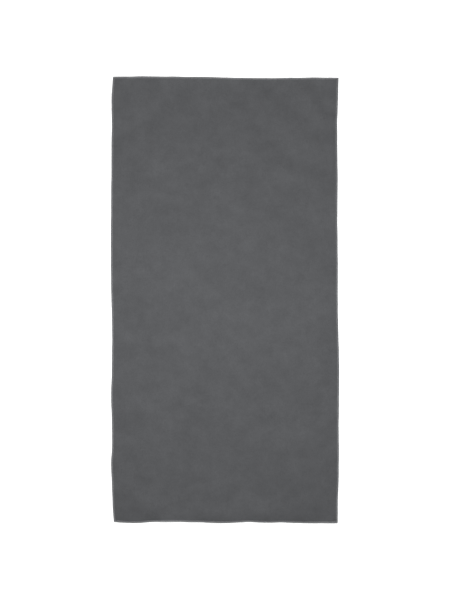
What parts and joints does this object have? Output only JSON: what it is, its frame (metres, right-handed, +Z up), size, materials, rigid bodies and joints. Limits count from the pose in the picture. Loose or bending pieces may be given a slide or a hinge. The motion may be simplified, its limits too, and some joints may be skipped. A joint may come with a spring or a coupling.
{
  "type": "quick dry towel",
  "caption": "Flat rectangular quick dry towel of short-napped microfibre cloth, with a narrow overlocked seam on each side.",
  "frame": {"origin": "middle of the underside, which lies on the XY plane", "axes": "+Y along the length towards the head side, +X across the width towards the right side, +Z up out of the upper face"},
  "size_m": [0.71, 1.4, 0.0015],
  "materials": {
    "microfibre_cloth": "matt dark grey, short brushed nap",
    "seam_thread": "dark grey textured polyester thread with a faint sheen"
  },
  "bodies": {
    "root": {"cloth_panel": "microfibre_cloth", "needle_thread_left": "seam_thread", "upper_looper_thread_left": "seam_thread", "lower_looper_thread_left": "seam_thread", "needle_thread_right": "seam_thread", "upper_looper_thread_right": "seam_thread", "lower_looper_thread_right": "seam_thread", "needle_thread_head": "seam_thread", "upper_looper_thread_head": "seam_thread", "lower_looper_thread_head": "seam_thread", "needle_thread_foot": "seam_thread", "upper_looper_thread_foot": "seam_thread", "lower_looper_thread_foot": "seam_thread"}
  },
  "joints": []
}
